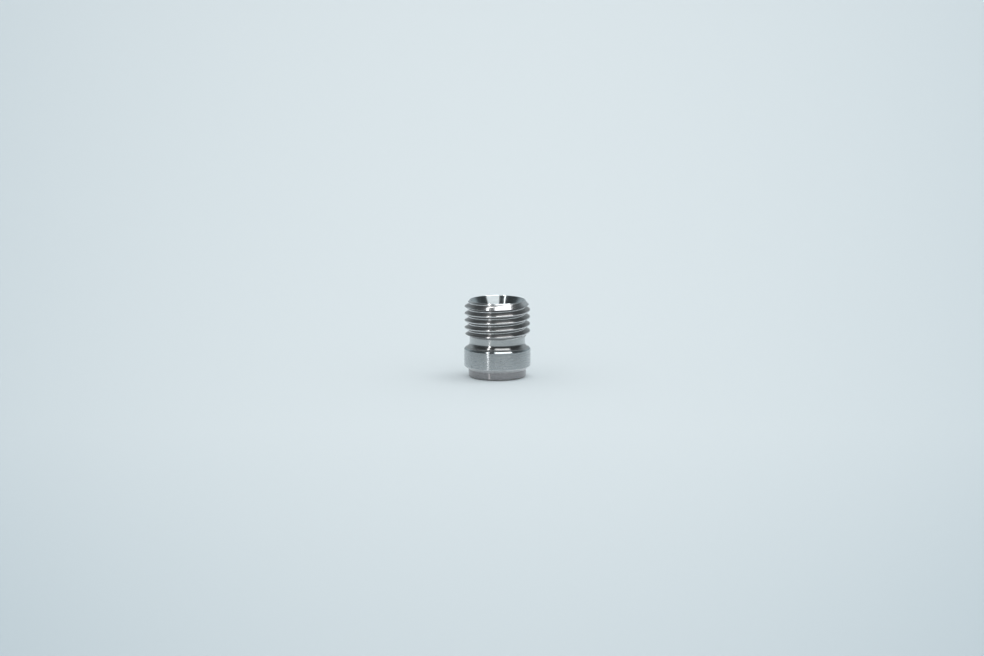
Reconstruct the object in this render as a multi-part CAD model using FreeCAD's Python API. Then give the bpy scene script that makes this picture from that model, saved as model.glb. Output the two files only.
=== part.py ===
"""Weld-on sensor boss, turned in one piece from round stainless bar.

The boss stands on its spigot, with its axis on +Z and its origin at the
centre of the bottom face. Going up, it has a plain spigot, a weld bevel, a
collar of the bar's full diameter, a relief groove, and an external
right-hand metric thread that ends in a chamfer. A bore runs right through
and opens at the top in a 60 degree sealing cone. Lengths are millimetres.
"""
import FreeCAD, Part
import math
import os

# Bar and collar
BAR_DIAMETER = 14.0
COLLAR_HEIGHT = 3.89
COLLAR_CHAMFER = 0.3

# Spigot and weld bevel under the collar
SPIGOT_HEIGHT = 1.67
SPIGOT_STEP = 0.95
SPIGOT_CHAMFER = 0.28
BEVEL_ANGLE = 37.5

# External thread, 60 degree metric form
THREAD_ALLOWANCE = 0.14
THREAD_PITCH = 1.5
THREAD_LENGTH = 7.69
THREAD_ANGLE = 60.0
CREST_FLAT = 0.2
ROOT_FLAT = 0.14
THREAD_START_AZIMUTH = 147.6

# Relief groove between the collar and the thread
NECK_LENGTH = 1.15
NECK_BELOW_ROOT = 0.075
FILLET_RADIUS = 1.3
RELIEF_FLANK_ANGLE = 30.0

# Rim and lead-in chamfer at the top
RIM_BELOW_ROOT = 0.08
RIM_LAND = 0.2
LEAD_CHAMFER_ANGLE = 50.0

# Bore and sealing cone
SPIGOT_WALL = 2.05
SEAT_CONE_ANGLE = 60.0
BORE_CHAMFER = 0.2

# How far the thread cutter reaches past the crests, and past the rim in pitches
CUTTER_OVERREACH = 0.08
CUTTER_RUNOUT = 0.8

# Radii, from the outside inwards
collar_radius = BAR_DIAMETER / 2
spigot_radius = collar_radius - SPIGOT_STEP
crest_radius = collar_radius - THREAD_ALLOWANCE / 2
flank_slope = math.tan(math.radians(THREAD_ANGLE / 2))
thread_depth = (THREAD_PITCH - CREST_FLAT - ROOT_FLAT) / 2 / flank_slope
root_radius = crest_radius - thread_depth
neck_radius = root_radius - NECK_BELOW_ROOT
rim_radius = root_radius - RIM_BELOW_ROOT
mouth_radius = rim_radius - RIM_LAND
bore_radius = spigot_radius - SPIGOT_WALL

# Heights, from the bottom face upwards
bevel_top = SPIGOT_HEIGHT + SPIGOT_STEP * math.tan(math.radians(BEVEL_ANGLE))
collar_top = bevel_top + COLLAR_HEIGHT
shoulder_radius = collar_radius - COLLAR_CHAMFER
fillet_edge = min(shoulder_radius, neck_radius + FILLET_RADIUS)
fillet_offset = neck_radius + FILLET_RADIUS - fillet_edge
neck_bottom = collar_top + math.sqrt(FILLET_RADIUS ** 2 - fillet_offset ** 2)
neck_top = neck_bottom + NECK_LENGTH
relief_rise = (crest_radius - neck_radius) * math.tan(math.radians(RELIEF_FLANK_ANGLE))
rim_height = neck_top + THREAD_LENGTH
lead_drop = (crest_radius - rim_radius) * math.tan(math.radians(LEAD_CHAMFER_ANGLE))
cone_depth = (mouth_radius - bore_radius) / math.tan(math.radians(SEAT_CONE_ANGLE / 2))


def at(radius, height):
    """A point of the turned section, in the XZ plane."""
    return FreeCAD.Vector(radius, 0, height)


def straight(points):
    """Edges that join the points in order, leaving out any of no length."""
    pairs = zip(points[:-1], points[1:])
    return [Part.LineSegment(a, b).toShape() for a, b in pairs if not a.isEqual(b, 1e-7)]


def relief_fillet():
    """The hollow arc from the collar's top edge up to the neck."""
    centre = at(neck_radius + FILLET_RADIUS, neck_bottom)
    start = at(fillet_edge, collar_top)
    end = at(neck_radius, neck_bottom)
    middle_direction = (start - centre).normalize() + (end - centre).normalize()
    middle = centre + middle_direction.normalize() * FILLET_RADIUS
    return Part.Arc(start, middle, end).toShape()


def turned_blank():
    """The boss before its thread is cut, as one turned section."""
    below_fillet = straight([
        at(bore_radius + BORE_CHAMFER, 0),
        at(spigot_radius - SPIGOT_CHAMFER, 0),
        at(spigot_radius, SPIGOT_CHAMFER),
        at(spigot_radius, SPIGOT_HEIGHT),
        at(collar_radius, bevel_top),
        at(collar_radius, collar_top - COLLAR_CHAMFER),
        at(shoulder_radius, collar_top),
        at(fillet_edge, collar_top),
    ])
    above_fillet = straight([
        at(neck_radius, neck_bottom),
        at(neck_radius, neck_top),
        at(crest_radius, neck_top + relief_rise),
        at(crest_radius, rim_height - lead_drop),
        at(rim_radius, rim_height),
        at(mouth_radius, rim_height),
        at(bore_radius, rim_height - cone_depth),
        at(bore_radius, BORE_CHAMFER),
        at(bore_radius + BORE_CHAMFER, 0),
    ])
    section = Part.Wire(below_fillet + [relief_fillet()] + above_fillet)
    return Part.Face(section).revolve(FreeCAD.Vector(), FreeCAD.Vector(0, 0, 1), 360)


def groove_section():
    """The cutter's outline at azimuth zero: a V with a flat tip at the thread root."""
    outer_radius = crest_radius + CUTTER_OVERREACH
    tip = ROOT_FLAT / 2
    outer = tip + (outer_radius - root_radius) * flank_slope
    corners = [
        at(root_radius, -tip),
        at(root_radius, tip),
        at(outer_radius, outer),
        at(outer_radius, -outer),
    ]
    return Part.Wire(straight(corners + corners[:1]))


def thread_cutter():
    """The groove's section swept up a right-hand helix, from the neck past the rim."""
    start_height = (neck_bottom + neck_top) / 2
    travel = rim_height - start_height + CUTTER_RUNOUT * THREAD_PITCH
    no_taper = 0
    helix = Part.makeLongHelix(THREAD_PITCH, travel, root_radius, no_taper)
    cutter = helix.makePipeShell([groove_section()], True, True)
    cutter.rotate(FreeCAD.Vector(), FreeCAD.Vector(0, 0, 1), THREAD_START_AZIMUTH)
    cutter.translate(FreeCAD.Vector(0, 0, start_height))
    return cutter


def sensor_boss():
    """The finished boss: the turned blank with its thread cut."""
    return turned_blank().cut(thread_cutter())


os.makedirs("parts", exist_ok=True)
sensor_boss().exportStep("parts/sensor_boss.step")
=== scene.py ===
"""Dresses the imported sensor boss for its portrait: a finely turned stainless
piece with its thread, on a pale studio floor. Sizes are in metres."""
import math

import bmesh
import bpy
from mathutils import Matrix, Vector


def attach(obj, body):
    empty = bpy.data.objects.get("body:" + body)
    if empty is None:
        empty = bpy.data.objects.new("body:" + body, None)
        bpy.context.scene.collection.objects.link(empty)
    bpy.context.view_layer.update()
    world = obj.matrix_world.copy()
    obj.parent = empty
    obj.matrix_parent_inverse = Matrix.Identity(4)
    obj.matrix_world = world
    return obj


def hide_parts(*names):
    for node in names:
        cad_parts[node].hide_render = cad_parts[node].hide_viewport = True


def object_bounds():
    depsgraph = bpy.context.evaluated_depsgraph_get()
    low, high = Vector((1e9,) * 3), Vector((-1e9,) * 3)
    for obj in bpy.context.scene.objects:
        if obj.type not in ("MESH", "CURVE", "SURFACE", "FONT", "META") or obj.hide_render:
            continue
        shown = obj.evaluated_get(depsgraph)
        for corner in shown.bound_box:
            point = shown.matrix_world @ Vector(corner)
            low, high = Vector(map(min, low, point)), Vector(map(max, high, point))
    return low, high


bl_info = {
    "name": "Turned Sensor Boss",
    "version": (1, 0, 0),
    "blender": (4, 5, 0),
    "location": "View3D > Sidebar > Boss",
    "description": "Builds a threaded weld-on boss with turned finishes, and a pale studio",
    "category": "Add Mesh",
}

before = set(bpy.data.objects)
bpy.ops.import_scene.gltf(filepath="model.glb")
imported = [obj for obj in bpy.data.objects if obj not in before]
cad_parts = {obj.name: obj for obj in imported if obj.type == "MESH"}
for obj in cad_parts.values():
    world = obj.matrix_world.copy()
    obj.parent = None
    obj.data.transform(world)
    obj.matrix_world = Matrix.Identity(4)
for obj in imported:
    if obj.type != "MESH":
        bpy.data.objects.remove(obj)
CAD_LOW, CAD_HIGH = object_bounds()
NODE = "sensor_boss"
PIECE = "turned_boss"
UP = Vector((0, 0, 1))

# Finishes of the boss, in the order of their material slots. Some of their colours hold painted
# light or painted shade
BRIGHT, LEAD, NECK, FILLET, BEVEL, SPIGOT, BAR_SKIN, FLANK_PAINTED_SHADE, CREST_PAINTED_LIGHT = range(9)

# The same finishes in the same order. Each has its material, the setting that gives its
# colour, its roughness, its spread across the marks, the marks' depth and its grain
LOOKS = (
    ("bright_turned_steel", "bright", 0.17, 0.7, 1.5e-6, 0.2),
    ("lead_chamfer", "lead", 0.22, 0.8, 1.5e-6, 0.2),
    ("turned_neck", "neck", 0.24, 0.9, 4e-6, 0.3),
    ("turned_fillet", "fillet", 0.19, 0.7, 2e-6, 0.3),
    # The weld bevel's colour is lightened as painted light, so that the downward bevel shows a
    # light band
    ("weld_bevel", "bevel", 0.30, 0.9, 4e-6, 0.3),
    # The spigot's colour is darkened as painted shade, for the shadowed floor that it reflects
    ("coarse_turned_spigot", "spigot", 0.24, 1.0, 2e-6, 0.2),
    ("ground_bar_skin", "skin", 0.27, 1.0, 1e-6, 0.25),
    # The flank colour is darkened as painted shade, in the thread's groove, on the relief flank and
    # on the spigot's lower chamfer
    ("dull_turned_steel", "flank", 0.34, 1.0, 3e-6, 0.4),
    # The crests' colour is lightened as painted highlight, and the roots take it as painted light
    ("thread_crests", "crest", 0.25, 0.8, 1.5e-6, 0.3),
)

# How the finish of a face is told: a wall leans less than WALL_LEAN, a chamfer ends within
# CHAMFER_REACH of its wall, and the relief flank within FLANK_REACH over the neck
WALL_LEAN = 0.1
CHAMFER_REACH = 0.0003
FLANK_REACH = 0.002

# Meshes: how far the thread cutter reaches past the collar's radius, and past the rim in
# turns, how many facets a rounded edge has, within what distance points are one, and at
# what angle shading breaks
CUTTER_MARGIN = 0.0005
CUTTER_RUNOUT = 0.8
ROUNDING_SEGMENTS = 5
SAME_PLACE = 1e-7
SHARP_ANGLE = math.radians(15)

# Metal: how fine the wider bands are against the marks, how much both wander round the
# axis, how fine the specks and the mottling are, how roughness and shade vary with them,
# and what turns the highlights' spread across the marks
BAND_SCALE = 0.12
RING_WANDER = 0.012
SPECK_SCALE = 9000.0
MOTTLE_SCALE = 4000.0
BAND_WEAR = 0.5
MOTTLE_WEAR = 0.4
LEAST_WEAR = 0.55
CLOUD_SPAN = 1.0, 2.0
SHADE_SPAN = 0.87, 1.12
QUARTER_TURN = 0.25

# Floor: its radius, and how far it lies under the boss. Painted shade dims it to the sides with
# the square of the width over the depth, and to the front between two places, as falling light
# would
FLOOR_RADIUS = 8.0
FLOOR_GAP = 2e-6
SIDE_DIMMING = 62.0
LEAST_DEPTH = 0.3
FRONT_SPAN = -0.06, -0.25
FRONT_DIMMING = 0.45

# World: between which directions backwards the ceiling and the wall brighten, and between
# which directions upwards the wall fades
CEILING_SPAN = 0.0, 0.4
WALL_SPAN = 0.3, 0.66
WALL_FADE = 0.45, 0.8

# Ribbons of light: the setting that gives their strength, and between which azimuths and
# upward tilts a wall of the boss mirrors them to the camera, in degrees
RIBBONS = (
    ("softbox", (-4, 26), (36, 44)),
    ("back_box", (-4, 26), (44, 52)),
    ("top_box", (-4, 27), (52, 66)),
    ("front_box", (-4.5, 24), (26, 36)),
    ("top_strip", (-15.6, -14), (50, 66)),
    ("strip", (-17.9, -16.7), (34, 50)),
    ("cone_strip", (-18.7, -17.5), (26, 34)),
    ("low_strip", (-16.7, -15.7), (2, 26)),
)
RIBBON_STEPS = 24

# Key light: its place and its radius, both as shares of the lights' distance
KEY_PLACE = Vector((0.35, 0.05, 1))
KEY_RADIUS = 0.3

# Camera: width of its sensor in millimetres, and the nearest and farthest that it sees
SENSOR_WIDTH = 36.0
NEAREST, FARTHEST = 0.05, 20.0


def length(name, description, default):
    """A length property, in metres."""
    return bpy.props.FloatProperty(
        name=name, description=description, default=default, min=0, precision=6, unit="LENGTH")


def angle(name, description, degrees):
    """An angle property, whose default is given in degrees."""
    return bpy.props.FloatProperty(
        name=name, description=description, default=math.radians(degrees), subtype="ANGLE")


def amount(name, description, default):
    """A plain number that is at least zero."""
    return bpy.props.FloatProperty(name=name, description=description, default=default, min=0)


def colour(name, description, default):
    """A colour property."""
    return bpy.props.FloatVectorProperty(
        name=name, description=description, default=default, subtype="COLOR", min=0, max=1)


class BossShape(bpy.types.PropertyGroup):
    """Sizes of the turned body and its thread."""

    bar_radius: length("Bar radius", "Radius of the bar and of the collar", CAD_HIGH.x)
    height: length("Height", "From the bottom face to the rim", CAD_HIGH.z)
    spigot_height: length("Spigot height", "Up to the weld bevel", 0.00167)
    spigot_step: length("Spigot step", "Spigot radius under the bar radius", 0.00095)
    spigot_chamfer: length("Spigot chamfer", "At the spigot's lower edge", 0.00028)
    bevel_angle: angle("Bevel angle", "Weld bevel, above the horizontal", 37.5)
    collar_height: length("Collar height", "From the bevel to the collar's top", 0.00389)
    collar_chamfer: length("Collar chamfer", "At the collar's top edge", 0.0003)
    fillet_radius: length("Fillet radius", "Hollow between collar and neck", 0.0013)
    neck_length: length("Neck length", "Straight part of the relief", 0.00115)
    neck_below_root: length("Neck below root", "Neck radius under the thread root", 0.000075)
    relief_angle: angle("Relief angle", "Flank from the neck to the thread", 30.0)
    thread_allowance: length("Thread allowance", "Crest radius under the bar radius", 0.00007)
    pitch: length("Pitch", "Rise of the thread in one turn", 0.0015)
    thread_angle: angle("Thread angle", "Between the two flanks", 60.0)
    crest_flat: length("Crest flat", "Width of the thread's crest", 0.0002)
    root_flat: length("Root flat", "Width of the thread's root", 0.00014)
    thread_start: angle("Thread start", "Azimuth of the groove at the middle of the neck", 147.6)
    rim_below_root: length("Rim below root", "Rim's outer radius under the thread root", 0.00008)
    rim_land: length("Rim land", "Width of the flat rim", 0.0002)
    lead_angle: angle("Lead angle", "Lead-in chamfer, above the horizontal", 50.0)
    spigot_wall: length("Spigot wall", "Metal between spigot and bore", 0.00205)
    cone_angle: angle("Cone angle", "Sealing cone, between opposite sides", 60.0)
    bore_chamfer: length("Bore chamfer", "At the bore's lower edge", 0.0002)
    edge_break: length("Edge break", "Rounding of the turned edges", 0.00004)
    crest_break: length("Crest break", "Rounding of the thread's crest edges", 0.00009)
    root_break: length("Root break", "Rounding of the thread's root edges", 0.00002)
    steps: bpy.props.IntProperty(
        name="Steps", description="Facets in one turn", default=360, min=24)


class BossFinish(bpy.types.PropertyGroup):
    """Colours of the metal, some lightened or darkened as painted light and painted shade, and how
    close its turning marks are.
    """

    bright: colour("Bright", "Of the cone, the chamfers and the bore", (0.545, 0.60, 0.62))
    lead: colour("Lead", "Of the lead-in chamfer at the top", (0.66, 0.68, 0.69))
    neck: colour("Neck", "Of the relief groove", (0.545, 0.555, 0.555))
    fillet: colour("Fillet", "Of the hollow fillet over the collar", (0.52, 0.53, 0.53))
    # Painted light: the bevel's colour is lightened so that the downward bevel shows a light band
    bevel: colour("Bevel", "Of the weld bevel", (0.84, 0.83, 0.83))
    # Painted shade: the spigot's colour is darkened for the shadowed floor that it reflects
    spigot: colour("Spigot", "Of the spigot's coarser wall", (0.39, 0.375, 0.38))
    skin: colour("Bar skin", "Of the collar's wall", (0.53, 0.55, 0.56))
    # Painted shade: the flank colour is darkened for the groove, the relief flank and the spigot's
    # lower chamfer
    flank: colour("Flank", "Of the thread's flanks", (0.39, 0.385, 0.385))
    # Painted light: the crest colour is lightened for brighter crest highlights and a lighter line
    # at the roots
    crest: colour("Crest", "Of the thread's crests", (0.86, 0.86, 0.855))
    mark_spacing: length("Mark spacing", "Between turning marks", 0.00006)


class BossStudio(bpy.types.PropertyGroup):
    """Floor, lights and camera."""

    floor: colour("Floor", "Colour of the floor and the far background", (0.72, 0.80, 0.835))
    # Painted shade: the floor's colour where its painted falloff of light dims it most
    floor_painted_shade: colour("Floor edge", "Colour of the floor where it is dimmer", (0.54, 0.635, 0.685))
    fill: amount("Fill", "Strength of the even light from all around", 0.88)
    room: amount("Room", "Brightness of the dim room that the metal reflects", 0.06)
    ceiling: amount("Ceiling", "Brightness of the ceiling behind, as the metal reflects it", 0.13)
    wall: amount("Wall", "Brightness of the wall behind, as the metal reflects it", 0.42)
    key: amount("Key", "Brightness of the light that gives the floor its shadow", 3.7)
    softbox: amount("Softbox", "Brightness of the overhead softbox", 1.9)
    back_box: amount("Back box", "Brightness of the softbox's back part", 4.5)
    top_box: amount("Top box", "Brightness of the softbox's upper part", 18.0)
    front_box: amount("Front box", "Brightness of the softbox's lower front part", 1.25)
    strip: amount("Strip", "Brightness of the thin strip light", 12.0)
    top_strip: amount("Top strip", "Brightness of the strip light's upper part", 60.0)
    cone_strip: amount("Cone strip", "Brightness of the strip light, as the cone shows it", 5.0)
    low_strip: amount("Low strip", "Brightness of the strip light's lower part", 10.0)
    light_distance: length("Light distance", "From the boss to the lights", 2.5)
    focal_length: amount("Focal length", "Of the camera's lens, in millimetres", 200.0)
    camera_distance: length("Camera distance", "From the aim to the camera", 1.1526)
    camera_elevation: angle("Camera elevation", "Above the horizontal", 9.8)
    aim: bpy.props.FloatVectorProperty(
        name="Aim", description="Point in the middle of the picture",
        default=(-0.001117, 0, 0.010296), precision=6, subtype="TRANSLATION", unit="LENGTH")


class Section:
    """Radii and heights of the boss's half section, worked out from its named sizes."""

    def __init__(self, shape):
        self.collar = shape.bar_radius
        self.spigot = self.collar - shape.spigot_step
        self.bore = self.spigot - shape.spigot_wall
        self.crest = self.collar - shape.thread_allowance
        flank_slope = math.tan(shape.thread_angle / 2)
        flanks = shape.pitch - shape.crest_flat - shape.root_flat
        self.root = self.crest - flanks / 2 / flank_slope
        self.neck = self.root - shape.neck_below_root
        self.rim = self.root - shape.rim_below_root
        self.mouth = self.rim - shape.rim_land
        self.shoulder = self.collar - shape.collar_chamfer
        self.bevel_bottom = shape.spigot_height
        self.bevel_top = shape.spigot_height + shape.spigot_step * math.tan(shape.bevel_angle)
        self.collar_top = self.bevel_top + shape.collar_height
        inset = self.neck + shape.fillet_radius - self.shoulder
        self.neck_bottom = self.collar_top + math.sqrt(shape.fillet_radius ** 2 - inset ** 2)
        self.neck_top = self.neck_bottom + shape.neck_length
        self.cone_bottom = shape.height - (self.mouth - self.bore) / math.tan(shape.cone_angle / 2)


def outline(bm, points):
    """Vertices at (radius, height) points in the XZ plane, joined by edges in a loop."""
    verts = [bm.verts.new((radius, 0, height)) for radius, height in points]
    for pair in zip(verts, verts[1:] + verts[:1]):
        bm.edges.new(pair)
    return verts


def round_corners(bm, verts, offset):
    """Rounds corners of an outline, starting this far from each."""
    bmesh.ops.bevel(
        bm, geom=verts, offset=offset, offset_type="OFFSET", segments=ROUNDING_SEGMENTS,
        profile=0.5, affect="VERTICES", material=-1)


def spin(bm, geometry, steps, rise=0.0):
    """Spins geometry once round the Z axis, rising by rise on the way."""
    bmesh.ops.spin(
        bm, geom=geometry, cent=(0, 0, 0), axis=UP, dvec=UP * (rise / steps),
        angle=2 * math.pi, steps=steps, use_merge=rise == 0)


def relief_arc(shape, section, steps=20):
    """Points of the hollow fillet, between the collar's top edge and the neck."""
    centre = Vector((section.neck + shape.fillet_radius, 0, section.neck_bottom))
    start = Vector((section.shoulder, 0, section.collar_top)) - centre
    turn = start.angle(Vector((-1, 0, 0)))
    arms = [Matrix.Rotation(turn * i / steps, 3, "Y") @ start for i in range(1, steps)]
    return [((centre + arm).x, (centre + arm).z) for arm in arms]


def turned_blank(shape, section):
    """The boss before its thread is cut, as a mesh spun from its half section."""
    bm = bmesh.new()
    # The blank stands proud of the crests, so that the thread alone gives them their form
    proud = section.crest + 2 * shape.crest_break
    relief_rise = (proud - section.neck) * math.tan(shape.relief_angle)
    lead_drop = (proud - section.rim) * math.tan(shape.lead_angle)
    below_fillet = [
        (section.bore + shape.bore_chamfer, 0),
        (section.spigot - shape.spigot_chamfer, 0),
        (section.spigot, shape.spigot_chamfer),
        (section.spigot, shape.spigot_height),
        (section.collar, section.bevel_top),
        (section.collar, section.collar_top - shape.collar_chamfer),
        (section.shoulder, section.collar_top),
    ]
    relief_and_blank = [
        (section.neck, section.neck_bottom),
        (section.neck, section.neck_top),
        (proud, section.neck_top + relief_rise),
        (proud, shape.height - lead_drop),
    ]
    rim_and_bore = [
        (section.rim, shape.height),
        (section.mouth, shape.height),
        (section.bore, section.cone_bottom),
        (section.bore, shape.bore_chamfer),
    ]
    verts = outline(
        bm, below_fillet + relief_arc(shape, section) + relief_and_blank + rim_and_bore)
    broken = verts[:len(below_fillet)] + verts[-len(rim_and_bore):]
    bm.faces.new(verts)
    round_corners(bm, broken, shape.edge_break)
    bmesh.ops.delete(bm, geom=bm.faces[:], context="FACES_ONLY")
    spin(bm, bm.verts[:] + bm.edges[:], shape.steps)
    bmesh.ops.recalc_face_normals(bm, faces=bm.faces)
    for face in bm.faces:
        face.material_index = finish_of(face, section)
    return bm


def finish_of(face, section):
    """Which finish a face of the blank has, from where it lies."""
    centre = face.calc_center_median()
    radius, height = centre.xy.length, centre.z
    wall = abs(face.normal.z) < WALL_LEAN
    if radius < section.bore + CHAMFER_REACH:
        return BRIGHT
    if height < section.bevel_bottom:
        # The spigot's wall takes the spigot colour, which is darkened as painted shade
        if wall:
            return SPIGOT
        # The spigot's lower chamfer takes the dark flank colour as painted shade, for the shadowed
        # floor that it faces
        return FLANK_PAINTED_SHADE if radius > section.spigot - CHAMFER_REACH else BRIGHT
    if height < section.collar_top:
        if wall:
            return BAR_SKIN
        # The weld bevel faces down, and its colour is lightened as painted light
        return BEVEL if face.normal.z < 0 else BRIGHT
    if radius < section.root and height < section.neck_top:
        return NECK if wall else FILLET
    if height > section.neck_top + FLANK_REACH:
        return LEAD if radius > section.rim else BRIGHT
    # The relief flank takes the dark flank colour as painted shade
    return FILLET if height < section.neck_bottom else FLANK_PAINTED_SHADE


def thread_cutter(shape, section):
    """The air round the thread: a helical groove, open to a tube outside the crests."""
    bm = bmesh.new()
    half = shape.pitch / 2
    outside = section.collar + CUTTER_MARGIN
    root = shape.root_flat / 2
    crest = half - shape.crest_flat / 2
    verts = outline(bm, [
        (section.crest, -half),
        (section.crest, -crest),
        (section.root, -root),
        (section.root, root),
        (section.crest, crest),
        (section.crest, half),
        (outside, half),
        (outside, -half),
    ])
    crest_corners, root_corners = verts[1:5:3], verts[2:4]
    bm.faces.new(verts)
    round_corners(bm, crest_corners, shape.crest_break)
    round_corners(bm, root_corners, shape.root_break)
    # One turn of the wall is spun, and stacked copies of it make the helix
    start = (section.neck_bottom + section.neck_top) / 2
    turns = math.ceil((shape.height - start) / shape.pitch + CUTTER_RUNOUT)
    first_end = bm.faces[:]
    copied(bm, first_end, shape.pitch * turns)
    seams = [e for e in bm.edges if is_seam(e, half)]
    low = [e for e in seams if e.verts[0].co.z < 0]
    high = [e for e in seams if 0 < e.verts[0].co.z < shape.pitch]
    wall = [e for e in first_end[0].edges if e not in seams]
    wall = copied(bm, wall, 0)
    low = copied(bm, low, 0)
    high = copied(bm, high, shape.pitch * (turns - 1))
    spin(bm, low, shape.steps, shape.pitch)
    spin(bm, high, shape.steps, shape.pitch)
    before = set(bm.faces)
    spin(bm, wall, shape.steps, shape.pitch)
    turn = [f for f in bm.faces if f not in before]
    for count in range(1, turns):
        copied(bm, turn, shape.pitch * count)
    bmesh.ops.remove_doubles(bm, verts=bm.verts, dist=SAME_PLACE)
    bmesh.ops.rotate(
        bm, verts=bm.verts, cent=(0, 0, 0), matrix=Matrix.Rotation(shape.thread_start, 3, "Z"))
    bmesh.ops.translate(bm, verts=bm.verts, vec=UP * start)
    bmesh.ops.triangulate(bm, faces=bm.faces)
    bmesh.ops.recalc_face_normals(bm, faces=bm.faces)
    # Crests and roots take the crest colour, lightened as painted highlight on the crests and
    # painted light in the roots. The flanks take the flank colour, darkened as painted shade in the
    # groove
    for face in bm.faces:
        radius = face.calc_center_median().xy.length
        outer = radius > section.crest - shape.crest_break
        inner = radius < section.root + shape.crest_break
        face.material_index = CREST_PAINTED_LIGHT if outer or inner else FLANK_PAINTED_SHADE
    return bm


def is_seam(edge, half):
    """Whether an edge is level, at the top or bottom of the groove's outline."""
    heights = [v.co.z for v in edge.verts]
    level = abs(heights[0] - heights[1]) < SAME_PLACE
    return level and abs(abs(heights[0]) - half) < SAME_PLACE


def copied(bm, parts, rise):
    """A copy of edges or faces with their vertices, moved up."""
    # A dict keeps its order, and a set's would change from run to run
    verts = list(dict.fromkeys(v for part in parts for v in part.verts))
    edges = list(dict.fromkeys(e for part in parts for e in getattr(part, "edges", [part])))
    faces = [part for part in parts if isinstance(part, bmesh.types.BMFace)]
    copy = bmesh.ops.duplicate(bm, geom=verts + edges + faces)["geom"]
    moved = [part for part in copy if isinstance(part, bmesh.types.BMVert)]
    bmesh.ops.translate(bm, verts=moved, vec=UP * rise)
    return copy


def new_object(name, bm, materials):
    """A new object at the origin with the bmesh as its mesh."""
    mesh = bpy.data.meshes.new(name)
    bm.to_mesh(mesh)
    bm.free()
    for material in materials:
        mesh.materials.append(material)
    made = bpy.data.objects.new(name, mesh)
    bpy.context.scene.collection.objects.link(made)
    return made


def bake_modifiers(body):
    """Gives the body the mesh that its modifiers make, without the modifiers."""
    depsgraph = bpy.context.evaluated_depsgraph_get()
    mesh = bpy.data.meshes.new_from_object(body.evaluated_get(depsgraph))
    body.modifiers.clear()
    body.data = mesh
    mesh.name = body.name


def cut(body, cutter):
    """Takes the cutter away from the body for good, and deletes the cutter."""
    modifier = body.modifiers.new("Thread", "BOOLEAN")
    modifier.operation = "DIFFERENCE"
    modifier.solver = "MANIFOLD"
    modifier.object = cutter
    bake_modifiers(body)
    bpy.data.objects.remove(cutter)


def even_shading(body, sharp):
    """Smooth shading that leaves flats flat, and breaks at edges sharper than an angle."""
    body.data.shade_smooth()
    body.data.set_sharp_from_angle(angle=sharp)
    weighted = body.modifiers.new("Even shading", "WEIGHTED_NORMAL")
    weighted.keep_sharp = True
    bake_modifiers(body)


class Shader:
    """A small helper that adds and links nodes in one material or world."""

    def __init__(self, owner):
        owner.use_nodes = True
        self.tree = owner.node_tree
        self.tree.nodes.clear()

    def node(self, kind, inputs=None, **settings):
        """A new node. Each input is a value, or the output that it is linked from."""
        made = self.tree.nodes.new(kind)
        for key, value in settings.items():
            setattr(made, key, value)
        for key, value in (inputs or {}).items():
            if isinstance(value, bpy.types.NodeSocket):
                self.tree.links.new(value, made.inputs[key])
            else:
                made.inputs[key].default_value = value
        return made

    def maths(self, operation, *values):
        """The result of one operation on values or outputs."""
        return self.node("ShaderNodeMath", dict(enumerate(values)), operation=operation).outputs[0]

    def noise(self, place, scale, **details):
        """Noise of this scale, read at the place."""
        inputs = {"Vector": place, "Scale": scale, **details}
        return self.node("ShaderNodeTexNoise", inputs).outputs[0]

    def graded(self, value, low, high, start, end):
        """What goes evenly from start to end while the value goes from low to high."""
        return self.node("ShaderNodeMapRange", {
            "Value": value, "From Min": low, "From Max": high,
            "To Min": start, "To Max": end}).outputs[0]


def turned_metal(name, tint, mark_spacing, roughness, spread, mark_depth, grain):
    """Steel with rings of turning marks and highlights drawn out across them."""
    material = bpy.data.materials.new(name)
    s = Shader(material)
    place = s.node("ShaderNodeTexCoord").outputs["Object"]
    parts = s.node("ShaderNodeSeparateXYZ", {0: place}).outputs
    level = s.node("ShaderNodeCombineXYZ", {0: parts[0], 1: parts[1]}).outputs[0]
    radius = s.node("ShaderNodeVectorMath", {0: level}, operation="LENGTH").outputs["Value"]
    # Rings: noise that changes with radius and height, and hardly round the axis
    wander = s.maths("MULTIPLY", parts[0], RING_WANDER)
    ring_place = s.node("ShaderNodeCombineXYZ", {0: radius, 1: parts[2], 2: wander}).outputs[0]
    rings = s.noise(ring_place, 1 / mark_spacing, Detail=3.0, Roughness=0.6)
    bands = s.noise(ring_place, BAND_SCALE / mark_spacing, Detail=2.0)
    specks = s.noise(place, SPECK_SCALE, Detail=2.0)
    mottle = s.noise(place, MOTTLE_SCALE, Detail=3.0)
    height = s.maths("ADD", rings, s.maths("MULTIPLY", specks, grain))
    bump = s.node("ShaderNodeBump", {"Height": height, "Strength": 1.0, "Distance": mark_depth})
    worn = s.maths(
        "ADD", s.maths("MULTIPLY", bands, BAND_WEAR), s.maths("MULTIPLY", mottle, MOTTLE_WEAR))
    rough = s.maths("MULTIPLY", s.maths("ADD", worn, LEAST_WEAR), roughness)
    cloud = s.maths("ADD", s.maths("ADD", bands, rings), mottle)
    shade = s.graded(cloud, *CLOUD_SPAN, *SHADE_SPAN)
    base = s.node("ShaderNodeVectorMath", {0: tuple(tint), "Scale": shade}, operation="SCALE")
    tangent = s.node("ShaderNodeTangent", direction_type="RADIAL", axis="Z")
    steel = s.node("ShaderNodeBsdfPrincipled", {
        "Base Color": base.outputs[0], "Metallic": 1.0, "Roughness": rough,
        "Anisotropic": spread, "Anisotropic Rotation": QUARTER_TURN,
        "Tangent": tangent.outputs[0], "Normal": bump.outputs[0]})
    s.node("ShaderNodeOutputMaterial", {"Surface": steel.outputs[0]})
    return material


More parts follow.
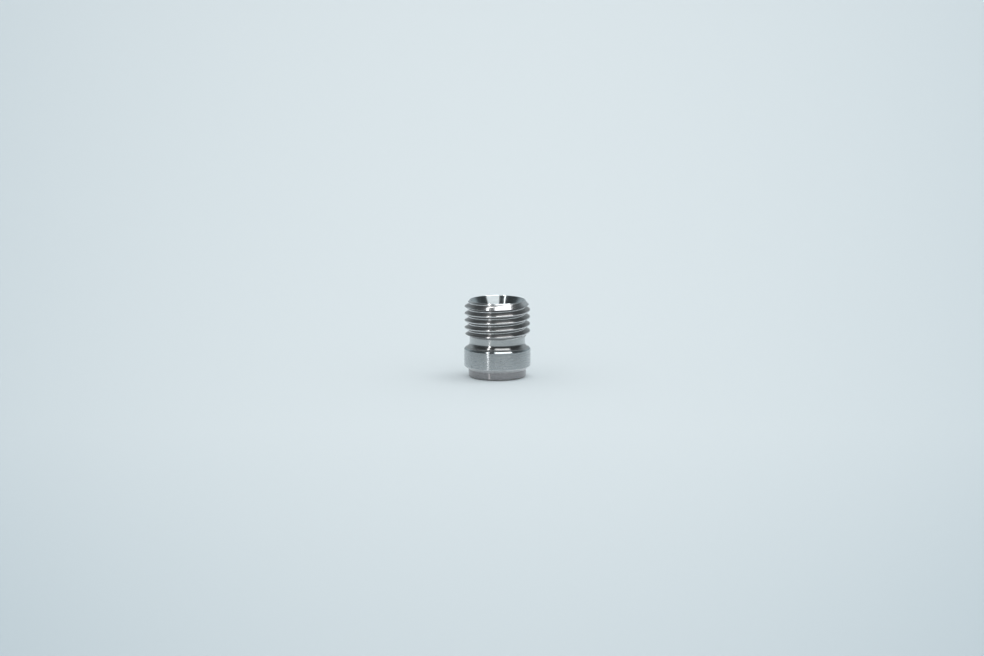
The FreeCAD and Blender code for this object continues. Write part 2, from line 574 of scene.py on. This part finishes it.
class BOSS_OT_turned_boss(bpy.types.Operator):
    """Turn the boss, cut its thread and give it its finishes"""

    bl_idname = "boss.turned_boss"
    bl_label = "Turned Boss"

    def execute(self, context):
        shape = context.scene.boss_shape
        finish = context.scene.boss_finish
        section = Section(shape)
        materials = [
            turned_metal(name, getattr(finish, tint), finish.mark_spacing, *grade)
            for name, tint, *grade in LOOKS]
        boss = new_object(PIECE, turned_blank(shape, section), materials)
        cut(boss, new_object("thread_cutter", thread_cutter(shape, section), materials))
        even_shading(boss, SHARP_ANGLE)
        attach(boss, "root")
        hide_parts(NODE)
        return {"FINISHED"}


def floor_material(middle, edge, reach):
    """Pale matt board, with painted shade that darkens it a little to the sides and to the front.
    """
    material = bpy.data.materials.new("pale_board")
    s = Shader(material)
    place = s.node("ShaderNodeTexCoord").outputs["Object"]
    across, away, _ = s.node("ShaderNodeSeparateXYZ", {0: place}).outputs
    depth = s.maths("MAXIMUM", s.maths("ADD", away, reach), LEAST_DEPTH)
    aside = s.maths("DIVIDE", across, depth)
    sides = s.maths("MULTIPLY", s.maths("MULTIPLY", aside, aside), SIDE_DIMMING)
    front = s.graded(away, *FRONT_SPAN, 0.0, FRONT_DIMMING)
    # Painted shade: the floor dims to the sides and to the front, as a falloff of light would dim
    # it
    dim = s.node("ShaderNodeClamp", {"Value": s.maths("ADD", sides, front)})
    tint = s.node("ShaderNodeMix", {
        "Factor": dim.outputs[0], "A": (*middle, 1), "B": (*edge, 1)}, data_type="RGBA")
    board = s.node("ShaderNodeBsdfPrincipled", {
        "Base Color": tint.outputs["Result"], "Roughness": 0.6, "Specular IOR Level": 0.0})
    s.node("ShaderNodeOutputMaterial", {"Surface": board.outputs[0]})
    return material


def glow(name, strength):
    """A material that only gives light."""
    material = bpy.data.materials.new(name)
    s = Shader(material)
    light = s.node("ShaderNodeEmission", {"Strength": strength})
    s.node("ShaderNodeOutputMaterial", {"Surface": light.outputs[0]})
    return material


def disc(radius, segments, centre):
    """A level disc."""
    bm = bmesh.new()
    bmesh.ops.create_circle(bm, cap_ends=True, radius=radius, segments=segments)
    bmesh.ops.translate(bm, verts=bm.verts, vec=centre)
    return bm


def mirrored(view, azimuth, tilt):
    """Where a wall of this azimuth and upward tilt mirrors what is seen along view."""
    facing = Vector((math.sin(azimuth), -math.cos(azimuth), 0)) * math.cos(tilt)
    facing = facing + UP * math.sin(tilt)
    return 2 * facing.dot(view) * facing - view


def ribbon(view, azimuths, tilts, distance):
    """What a wall mirrors between two azimuths, from one tilt to the other, in degrees."""
    bm = bmesh.new()
    low, high = tilts
    steps = range(RIBBON_STEPS + 1)
    turn = [math.radians(low + (high - low) * step / RIBBON_STEPS) for step in steps]
    for azimuth in azimuths:
        places = [mirrored(view, math.radians(azimuth), tilt) * distance for tilt in turn]
        verts = [bm.verts.new(place) for place in places]
        for pair in zip(verts, verts[1:]):
            bm.edges.new(pair)
    bmesh.ops.bridge_loops(bm, edges=bm.edges)
    return bm


def light_object(name, bm, strength):
    """A glowing object of the stage that the camera doesn't see."""
    made = new_object(name, bm, [glow(name + "_glow", strength)])
    made.visible_camera = False
    return made


def studio_world(studio):
    """Even fill for the floor, and a dim room with a pale back for the metal to reflect."""
    world = bpy.data.worlds.new("studio")
    s = Shader(world)
    floor = (*studio.floor, 1)
    direction = s.node("ShaderNodeTexCoord").outputs["Generated"]
    _, away, upward = s.node("ShaderNodeSeparateXYZ", {0: direction}).outputs
    ceiling = s.graded(away, *CEILING_SPAN, studio.room, studio.ceiling)
    behind = s.graded(away, *WALL_SPAN, 0.0, studio.wall)
    below = s.graded(upward, *WALL_FADE, 1.0, 0.0)
    around = s.maths("ADD", ceiling, s.maths("MULTIPLY", behind, below))
    room = s.node("ShaderNodeBackground", {"Color": floor, "Strength": around})
    fill = s.node("ShaderNodeBackground", {"Color": (1, 1, 1, 1), "Strength": studio.fill})
    seen = s.node("ShaderNodeBackground", {"Color": floor, "Strength": 1.0})
    path = s.node("ShaderNodeLightPath").outputs
    # The dim room is for what the camera sees in the metal, not for what the metal gives the floor
    first = s.maths("LESS_THAN", path["Diffuse Depth"], 0.5)
    mirror = s.maths("MULTIPLY", path["Is Glossy Ray"], first)
    unseen = s.node("ShaderNodeMixShader", {0: mirror, 1: fill.outputs[0], 2: room.outputs[0]})
    shown = s.node("ShaderNodeMixShader", {
        0: path["Is Camera Ray"], 1: unseen.outputs[0], 2: seen.outputs[0]})
    s.node("ShaderNodeOutputWorld", {"Surface": shown.outputs[0]})
    return world


def studio_camera(studio, view):
    """A camera that looks at the aim from the direction of view."""
    camera = bpy.data.objects.new("camera", bpy.data.cameras.new("camera"))
    camera.data.lens = studio.focal_length
    camera.data.sensor_width = SENSOR_WIDTH
    camera.data.clip_start = NEAREST
    camera.data.clip_end = FARTHEST
    camera.location = Vector(studio.aim) + view * studio.camera_distance
    camera.rotation_euler = (math.pi / 2 - studio.camera_elevation, 0, 0)
    return camera


class BOSS_OT_studio(bpy.types.Operator):
    """Set up the floor, the lights and the camera"""

    bl_idname = "boss.studio"
    bl_label = "Pale Studio"

    def execute(self, context):
        scene = context.scene
        studio = scene.boss_studio
        board = floor_material(studio.floor, studio.floor_painted_shade, studio.camera_distance)
        floor = new_object("floor", disc(FLOOR_RADIUS, 96, UP * (CAD_LOW.z - FLOOR_GAP)), [board])
        lift = studio.camera_elevation
        view = Vector((0, -math.cos(lift), math.sin(lift)))
        distance = studio.light_distance
        for name, azimuths, tilts in RIBBONS:
            card = ribbon(view, azimuths, tilts, distance)
            light = light_object(name, card, getattr(studio, name))
            light.visible_diffuse = False
        lamp = disc(distance * KEY_RADIUS, 48, KEY_PLACE * distance)
        key = light_object("key", lamp, studio.key)
        key.visible_glossy = False
        scene.world = studio_world(studio)
        scene.view_settings.view_transform = "Standard"
        camera = studio_camera(studio, view)
        scene.collection.objects.link(camera)
        scene.camera = camera
        return {"FINISHED"}


class BOSS_PT_panel(bpy.types.Panel):
    """Lists the steps and their settings"""

    bl_idname = "BOSS_PT_panel"
    bl_label = "Sensor Boss"
    bl_space_type = "VIEW_3D"
    bl_region_type = "UI"
    bl_category = "Boss"

    def draw(self, context):
        for operator, groups in STEPS:
            box = self.layout.box()
            box.operator(operator.bl_idname)
            for group in groups:
                settings = getattr(context.scene, group)
                for name in settings.__annotations__:
                    box.prop(settings, name)


# Each step with the settings that it reads, in the order in which main runs them
STEPS = (
    (BOSS_OT_turned_boss, ("boss_shape", "boss_finish")),
    (BOSS_OT_studio, ("boss_studio",)),
)
GROUPS = {"boss_shape": BossShape, "boss_finish": BossFinish, "boss_studio": BossStudio}
CLASSES = (*GROUPS.values(), *(operator for operator, _ in STEPS), BOSS_PT_panel)


def register():
    """Registers the classes, and gives each scene its settings."""
    for cls in CLASSES:
        bpy.utils.register_class(cls)
    for name, group in GROUPS.items():
        setattr(bpy.types.Scene, name, bpy.props.PointerProperty(type=group))


def unregister():
    """Takes the settings and the classes away again."""
    for name in GROUPS:
        delattr(bpy.types.Scene, name)
    for cls in reversed(CLASSES):
        bpy.utils.unregister_class(cls)


def main():
    """Builds the boss and its studio."""
    register()
    bpy.ops.boss.turned_boss()
    bpy.ops.boss.studio()


if __name__ == "__main__":
    main()
